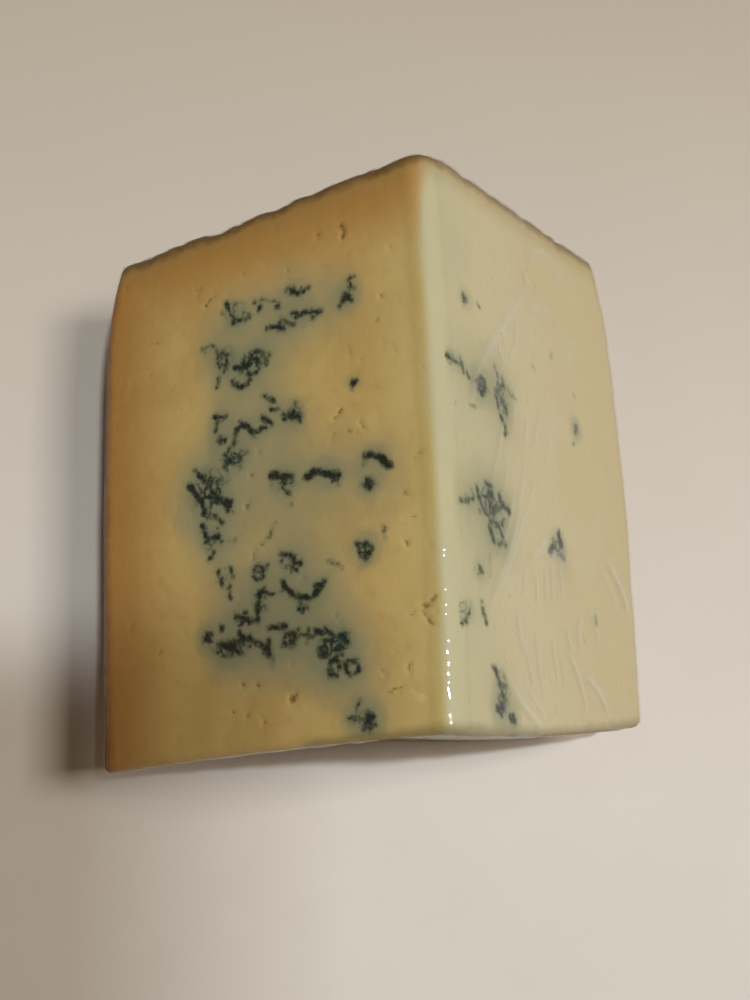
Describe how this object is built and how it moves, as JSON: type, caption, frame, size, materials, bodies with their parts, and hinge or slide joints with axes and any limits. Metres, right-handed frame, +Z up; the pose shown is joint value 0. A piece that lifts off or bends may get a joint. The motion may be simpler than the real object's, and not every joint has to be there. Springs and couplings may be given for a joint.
{
  "type": "blue cheese wedge",
  "caption": "Wedge of pale yellow cheese with blue-green mould veins and a brown rind, wrapped tight in clear film, lying on its rind with its sharp edge up.",
  "frame": {"origin": "middle of the bounding box of the base, at the height of the flat that the heel rests on", "axes": "+Z up, from the rind to the sharp edge; +Y along the sharp edge, towards the flat end with rind; +X to the right of someone who faces +Y"},
  "size_m": [0.1028, 0.0992, 0.0695],
  "materials": {
    "cheese": "pale yellow paste with blue-green veins, brown rind",
    "film": "clear glossy cling film"
  },
  "bodies": {
    "root": {"cheese_wedge": "cheese"}
  },
  "joints": []
}
